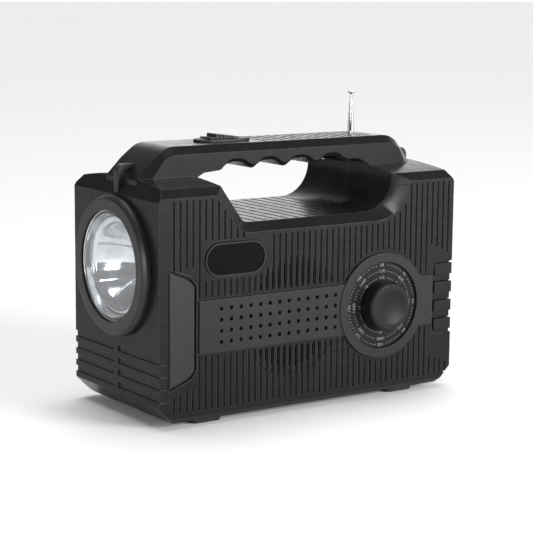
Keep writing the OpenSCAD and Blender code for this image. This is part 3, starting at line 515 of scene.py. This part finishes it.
CUP_TURNS = 240
CUP_RINGS = 90
CUP_RADIUS = 30 * MM
CUP_DEPTH = 27 * MM
CUP_WALL = 1 * MM
CUP_REACH = 0.96            # share of the depth that the rings cover; the light source fills the rest
BAND = 4.5 * MM             # depth of the band inside the rim
BAND_EASE = 0.15            # share of BAND over which the cup steps in from it
BAND_SLOPE = 0.4 * MM       # how far the band may narrow from the rim
BAND_STEP = 0.8 * MM        # how far the cup stands in from the band
LOBE_RISE = 1.5 * MM        # scale of the relief of the two lobes
LOBE_SLOPE = 3              # how steeply a lobe rises from its edge
LOBE_LOW = 0.42             # height of a lobe's edge at the rim, as a share of the radius
LOBE_BEND = 0.35            # how much higher that edge is at the bottom
LOBE_FADE = 0.3             # share of the cup over which the lobes fade, at the rim and the bottom
BEAD = 0.07                 # width of the bead along a lobe's edge, as a share of the radius
BEAD_RISE = 0.7             # its height, as a share of LOBE_RISE


def smooth(value):
    value = min(1, max(0, value))
    return value * value * (3 - 2 * value)


def lobe_relief(share, turn):
    """Relief of a lobe above and a lobe below, each with a rounded bead along its edge."""
    up = abs(math.sin(turn))
    past_edge = up - LOBE_LOW - LOBE_BEND * share ** 2
    bead = math.exp(-(past_edge / BEAD) ** 2)
    return LOBE_RISE * (BEAD_RISE * bead + LOBE_SLOPE * max(0, past_edge))


def cup_point(share, turn):
    """Depth and radius of a place on the cup: `share` runs from 0 at the rim to 1 at the bottom."""
    left = CUP_DEPTH * (1 - CUP_REACH * share)
    radius = CUP_RADIUS * math.sqrt(left / CUP_DEPTH)
    step = smooth(((CUP_DEPTH - left) / BAND - 1) / BAND_EASE)
    if step < 1:
        radius = max(radius, CUP_RADIUS - BAND_SLOPE) * (1 - step) + radius * step
    fade = smooth(share / LOBE_FADE) * smooth((1 - share) / LOBE_FADE)
    radius -= step * BAND_STEP + fade * lobe_relief(share, turn)
    return CUP_DEPTH - left, radius


def cup_rows(low, high):
    """Rows of points round the cup: first its flange, then from the rim to the bottom."""
    centre = (low + high) / 2
    flange = (high.z - low.z) / 2
    rows = []
    for ring in range(-1, CUP_RINGS + 1):
        row = []
        for place in range(CUP_TURNS):
            turn = 2 * math.pi * place / CUP_TURNS
            depth, radius = (0, flange) if ring < 0 else cup_point(ring / CUP_RINGS, turn)
            hub = Vector((low.x + depth, centre.y, centre.z))
            row.append(hub + radius * Vector((0, math.cos(turn), math.sin(turn))))
        rows.append(row)
    return rows


def make_reflector():
    rows = cup_rows(*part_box("torch_reflector"))
    points = [point for row in rows for point in row]
    faces = []
    for row in range(len(rows) - 1):
        outer = row * CUP_TURNS
        inner = outer + CUP_TURNS
        for place in range(CUP_TURNS):
            after = (place + 1) % CUP_TURNS
            faces.append((outer + place, outer + after, inner + after, inner + place))
    mesh = bpy.data.meshes.new("reflector_cup")
    mesh.from_pydata(points, [], faces)
    for polygon in mesh.polygons:
        polygon.use_smooth = True
    cup = add_piece("reflector_cup", mesh, "torch_reflector", "mirror_cup")
    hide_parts("torch_reflector")
    wall = cup.modifiers.new("wall", "SOLIDIFY")
    wall.thickness = CUP_WALL
    wall.offset = -1


make_reflector()


# ---- painted highlight: a lighter rim sheet on the name plate ----

RIM_WIDTH = 0.9 * MM
RIM_SKIN = 0.03 * MM
RIM_INSET = 0.3 * MM         # taken off the plate's length and height


def pill_outline(centre, length, height, steps=16):
    """Points round a pill shape in the XZ plane."""
    radius = height / 2
    points = []
    for side in (1, -1):
        hub = centre + Vector((side * (length / 2 - radius), 0, 0))
        for step in range(steps + 1):
            turn = side * math.pi / 2 - math.pi * step / steps
            points.append(hub + radius * Vector((math.cos(turn), 0, math.sin(turn))))
    return points


# Painted highlight: a thin sheet of paler plastic laid round the plate's edge stands in for the light its
# rim catches.
def make_painted_rim_highlight():
    low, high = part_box("name_plate")
    centre = Vector(((low.x + high.x) / 2, low.y - RIM_SKIN, (low.z + high.z) / 2))
    length = high.x - low.x - RIM_INSET
    height = high.z - low.z - RIM_INSET
    outer = pill_outline(centre, length, height)
    inner = pill_outline(centre, length - 2 * RIM_WIDTH, height - 2 * RIM_WIDTH)
    count = len(outer)
    faces = [(i, (i + 1) % count, count + (i + 1) % count, count + i) for i in range(count)]
    mesh = bpy.data.meshes.new("painted_rim_highlight")
    mesh.from_pydata(outer + inner, [], faces)
    # The paler trim plastic on this sheet paints the rim highlight.
    rim = add_piece("painted_rim_highlight", mesh, "name_plate", "trim_plastic")
    solid = rim.modifiers.new("thickness", "SOLIDIFY")
    solid.thickness = 2 * RIM_SKIN
    solid.offset = 0


make_painted_rim_highlight()


# ---- silver print on the solar cells ----

CELLS_IN_ROW = 8
FINGERS = 9                  # silver lines along the panel
LINE = 0.3 * MM
SILVER = 0.02 * MM           # thickness of the silver


def add_bar(sheet, middle_at, size):
    made = bmesh.ops.create_cube(sheet, size=1)
    move = Matrix.Translation(middle_at) @ Matrix.Diagonal((*size, 1))
    bmesh.ops.transform(sheet, matrix=move, verts=made["verts"])


def print_cells():
    low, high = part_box("solar_cells")
    centre = middle("solar_cells")
    width = high.x - low.x
    height = high.z - low.z
    sheet = bmesh.new()
    for gap in range(1, CELLS_IN_ROW):
        x = low.x + width * gap / CELLS_IN_ROW
        add_bar(sheet, (x, high.y, centre.z), (3 * LINE, 2 * SILVER, height))
    for row in range(1, FINGERS + 1):
        z = low.z + height * row / (FINGERS + 1)
        add_bar(sheet, (centre.x, high.y, z), (width, SILVER, LINE))
    mesh = bpy.data.meshes.new("solar_print")
    sheet.to_mesh(mesh)
    sheet.free()
    add_piece("solar_print", mesh, "solar_cells", "tin_parts")


print_cells()
